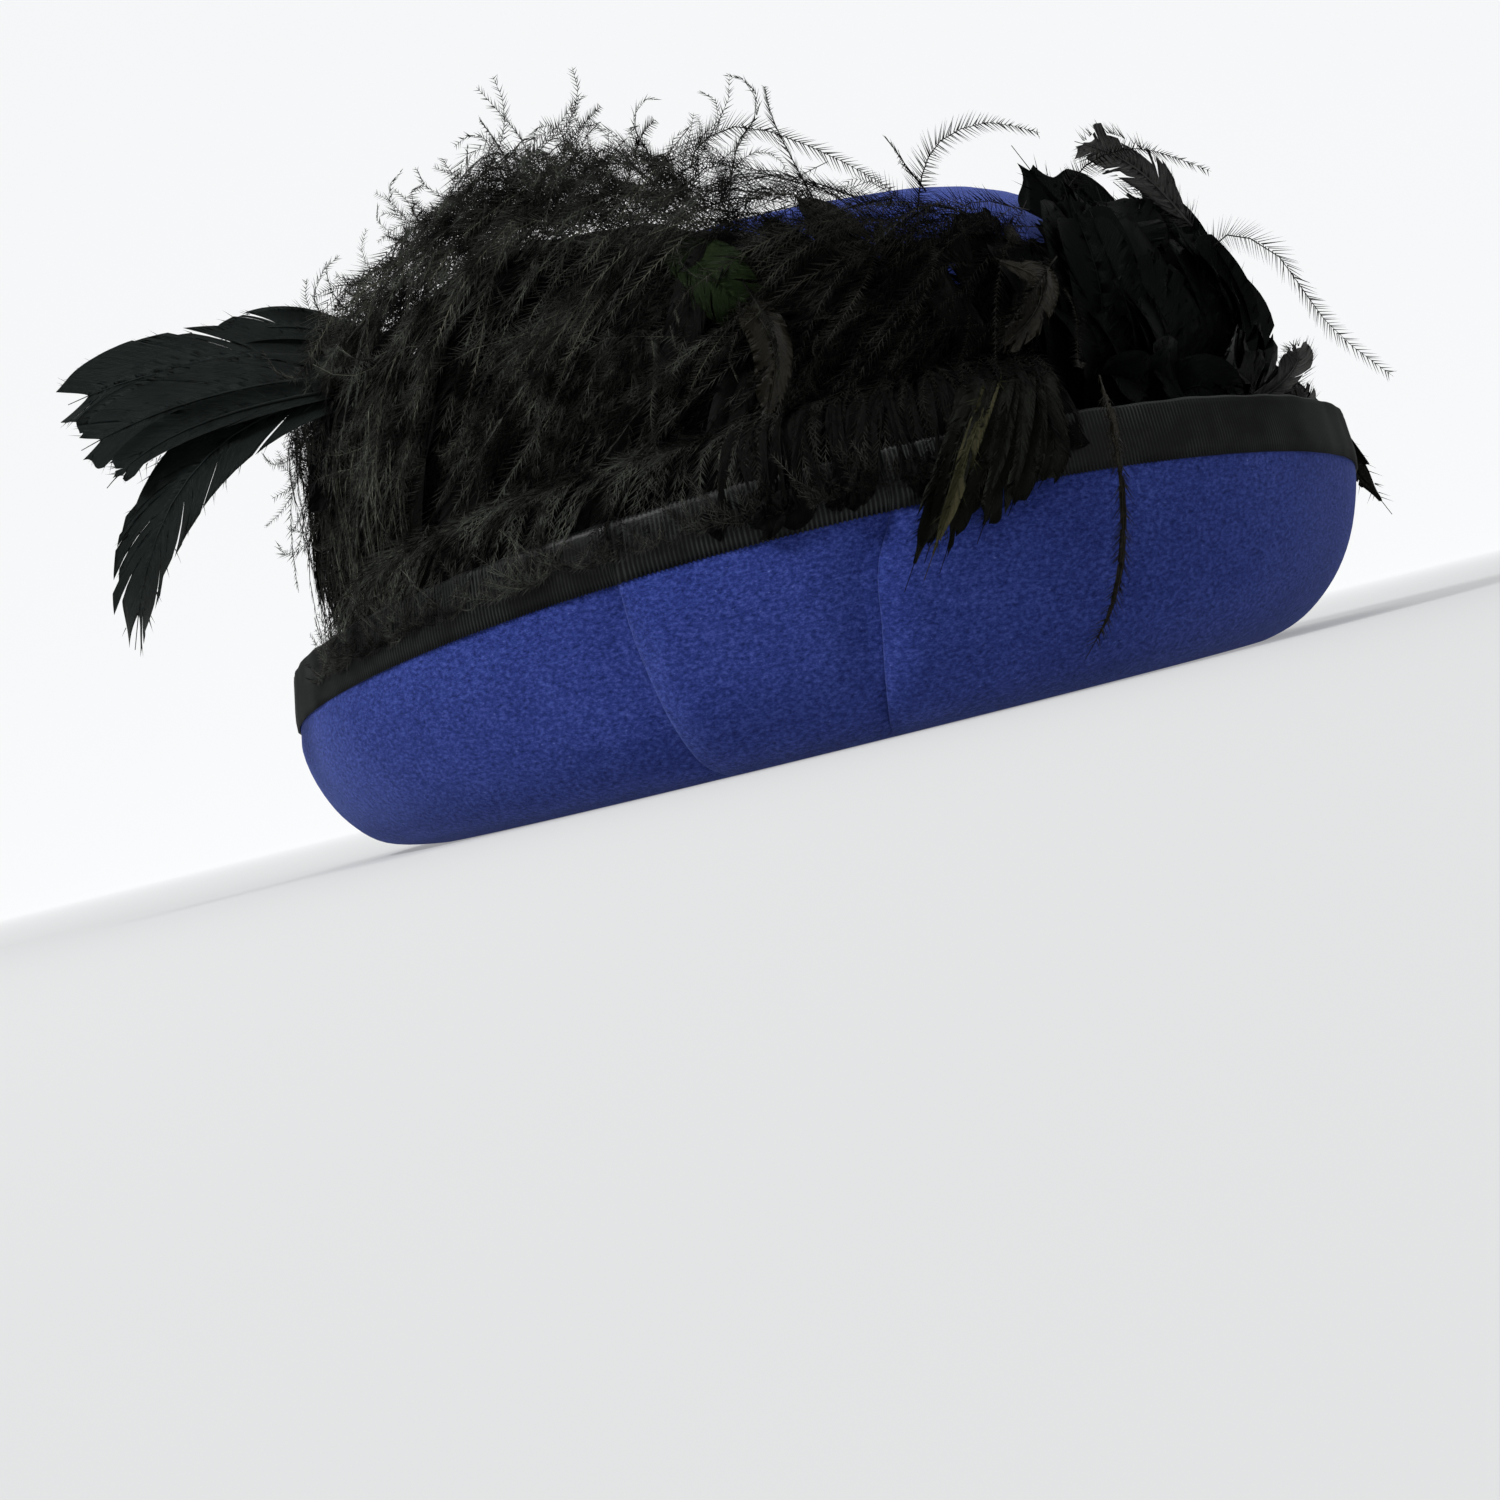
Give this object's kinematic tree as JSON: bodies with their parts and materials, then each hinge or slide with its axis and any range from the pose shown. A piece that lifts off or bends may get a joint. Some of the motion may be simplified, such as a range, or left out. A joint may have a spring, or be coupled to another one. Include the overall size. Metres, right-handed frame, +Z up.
{
  "type": "felt hat",
  "caption": "Felt hat with a domed crown, a deep turned-up brim bound in ribbon, and a black feather trim with a tail spray behind.",
  "frame": {"origin": "middle of the head opening, on the plane that the brim's foot rests on", "axes": "+Z up through the crown, -Y to the wearer's front, -X to the wearer's right, where the tucks are"},
  "size_m": [0.3187, 0.3914, 0.206],
  "materials": {
    "felt": "soft brushed felt with a short nap",
    "ribbon": "ribbed grosgrain, dull sheen",
    "ostrich": "fine soft flues, matt",
    "coque": "glossy body feathers",
    "tail_feather": "glossy, faint green sheen",
    "hackle": "soft, satin"
  },
  "bodies": {
    "root": {"crown": "felt", "brim": "felt", "brim_binding": "ribbon", "ostrich_plume": "ostrich", "coque_pad": "coque", "tail_spray": "tail_feather", "hackle_spray": "hackle"}
  },
  "joints": []
}
